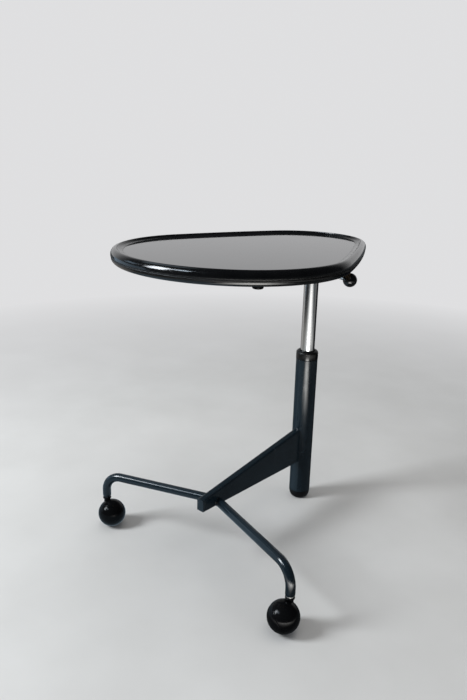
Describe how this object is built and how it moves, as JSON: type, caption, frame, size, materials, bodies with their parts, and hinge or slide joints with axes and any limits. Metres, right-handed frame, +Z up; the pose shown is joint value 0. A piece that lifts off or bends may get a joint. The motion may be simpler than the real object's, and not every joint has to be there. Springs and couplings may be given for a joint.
{
  "type": "adjustable side table",
  "caption": "Side table with an egg-shaped lipped top that raises, swings and turns on a gas-spring column, standing on a rounded foot and splayed tube legs with ball casters.",
  "frame": {"origin": "on the floor under the column's axis, at the middle of the foot's flat sole", "axes": "+Z up the column, -Y from the column towards the legs and the round end of the top, +X to the side of the release lever"},
  "size_m": [0.4747, 0.5005, 0.5534],
  "materials": {
    "blue_grey_paint": "dark blue-grey paint, semi-gloss with a fine orange-peel",
    "chrome": "bright chrome plate",
    "zinc_steel": "zinc-plated steel, satin",
    "black_casting": "cast metal, black paint",
    "gloss_black_plastic": "moulded, glossy black",
    "satin_black_plastic": "moulded, satin black",
    "rim_black_plastic": "extruded edging, glossy black",
    "black_gloss_laminate": "high-gloss black laminate",
    "fibreboard": "raw fibreboard",
    "white_nylon": "natural nylon",
    "black_rubber": "moulded rubber"
  },
  "bodies": {
    "base": {"column_tube": "blue_grey_paint", "foot_cap": "satin_black_plastic", "column_floor": "zinc_steel", "thrust_bearing": "zinc_steel", "bump_ring": "black_rubber", "guide_collar": "satin_black_plastic", "beam": "blue_grey_paint", "left_leg": "blue_grey_paint", "right_leg": "blue_grey_paint", "left_socket": "zinc_steel", "right_socket": "zinc_steel"},
    "spring_rod": {"piston_rod": "chrome", "rod_clip": "zinc_steel", "piston": "zinc_steel"},
    "carriage": {"gas_cylinder": "chrome", "rod_gland": "zinc_steel", "head": "black_casting", "lever_pin": "zinc_steel", "arm": "blue_grey_paint", "slip_washer": "white_nylon"},
    "release": {"release_pin": "zinc_steel"},
    "lever": {"lever_rod": "chrome", "lever_knob": "gloss_black_plastic"},
    "top": {"pivot_stud": "zinc_steel", "pivot_washer": "zinc_steel", "pivot_nut": "zinc_steel", "pivot_cap": "gloss_black_plastic", "top_plate": "zinc_steel", "top_screw_1": "zinc_steel", "top_screw_2": "zinc_steel", "top_screw_3": "zinc_steel", "top_screw_4": "zinc_steel", "board": "fibreboard", "panel": "black_gloss_laminate", "rim": "rim_black_plastic"},
    "left_caster": {"left_hood": "gloss_black_plastic", "left_stem": "zinc_steel", "left_axle": "zinc_steel"},
    "left_ball": {"left_wheel": "gloss_black_plastic"},
    "right_caster": {"right_hood": "gloss_black_plastic", "right_stem": "zinc_steel", "right_axle": "zinc_steel"},
    "right_ball": {"right_wheel": "gloss_black_plastic"}
  },
  "joints": [
    {"name": "top_swing", "type": "hinge", "parent": "base", "child": "spring_rod", "pos_m": [0, 0, 0.03], "axis": [0, 0, 1], "continuous": true},
    {"name": "height", "type": "slide", "parent": "spring_rod", "child": "carriage", "axis": [0, 0, 1], "range_m": [-0.12, 0.04]},
    {"name": "top_turn", "type": "hinge", "parent": "carriage", "child": "top", "pos_m": [0, -0.168, 0.53], "axis": [0, 0, 1], "continuous": true},
    {"name": "lever_lift", "type": "hinge", "parent": "carriage", "child": "lever", "pos_m": [0.01749, -0.00742, 0.4909], "axis": [-0.3907, -0.9205, 0], "range_deg": [0, 9], "stiffness_Nm_per_rad": 3, "springref_deg": -5.73},
    {"name": "release_press", "type": "slide", "parent": "carriage", "child": "release", "axis": [0, 0, 1], "range_m": [-0.0036, 0]},
    {"name": "left_swivel", "type": "hinge", "parent": "base", "child": "left_caster", "pos_m": [-0.2186, -0.342, 0.059], "axis": [0, 0, 1], "continuous": true},
    {"name": "left_roll", "type": "hinge", "parent": "left_caster", "child": "left_ball", "pos_m": [-0.2056, -0.342, 0.026], "axis": [0.4096, -0.7094, -0.5736], "continuous": true},
    {"name": "right_swivel", "type": "hinge", "parent": "base", "child": "right_caster", "pos_m": [0.2186, -0.342, 0.059], "axis": [0, 0, 1], "continuous": true},
    {"name": "right_roll", "type": "hinge", "parent": "right_caster", "child": "right_ball", "pos_m": [0.21724, -0.35493, 0.026], "axis": [-0.7483, -0.3332, -0.5736], "continuous": true}
  ],
  "couplings": [
    {"joint": "release_press", "follows": "lever_lift", "m_per_rad": -0.0213}
  ]
}
